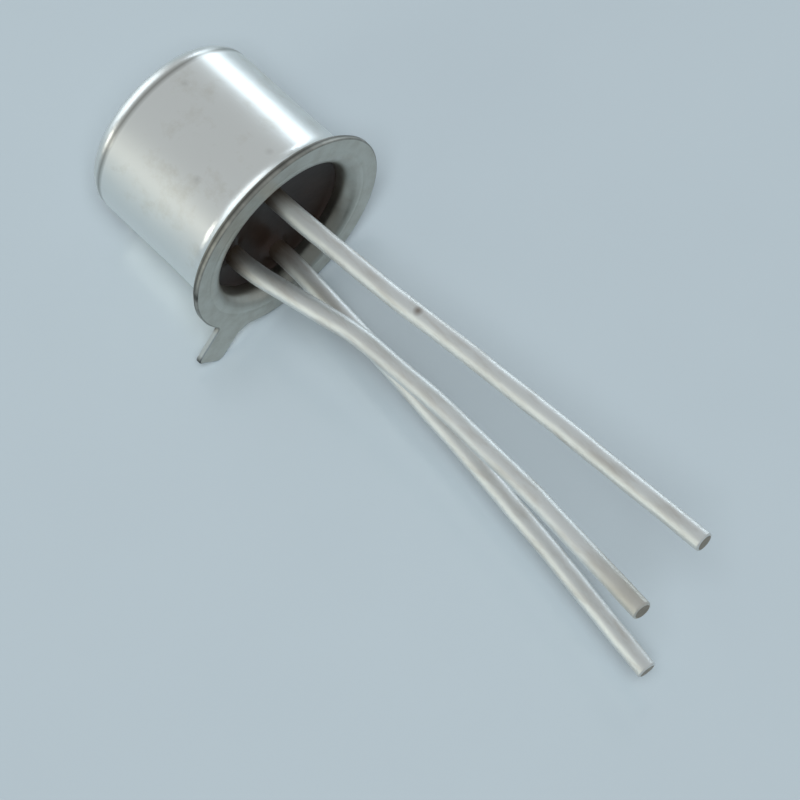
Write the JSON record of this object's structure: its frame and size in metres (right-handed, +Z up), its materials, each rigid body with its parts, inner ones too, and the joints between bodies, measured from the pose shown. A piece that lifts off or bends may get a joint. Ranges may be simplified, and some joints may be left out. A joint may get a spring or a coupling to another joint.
{
  "type": "unijunction transistor",
  "caption": "Small round metal-can unijunction transistor lying on its side: flanged nickel can with an index tab, dark glass seal and long bent wire leads.",
  "frame": {"origin": "on the surface that the part lies on, under the middle of its box", "axes": "+Z up, leads pointing along +X, the can's top towards -X and its index tab low on the -Y side"},
  "size_m": [0.0176, 0.006, 0.0059],
  "materials": {
    "nickel_can": "bright nickel plate on a drawn steel can",
    "nickel_header": "matte nickel plate on a stamped iron-nickel-cobalt header",
    "dark_glass": "fused dark brown glass, opaque",
    "tinned_lead": "solder-dipped silver-grey wire",
    "gold": "plain gold",
    "silicon": "polished silicon"
  },
  "bodies": {
    "root": {"can": "nickel_can", "header": "nickel_header", "glass_seal": "dark_glass", "lead_emitter": "tinned_lead", "lead_base_1": "tinned_lead", "lead_base_2": "tinned_lead", "die_attach": "gold", "die": "silicon", "bond_wire_emitter": "gold", "bond_wire_base_1": "gold"}
  },
  "joints": []
}
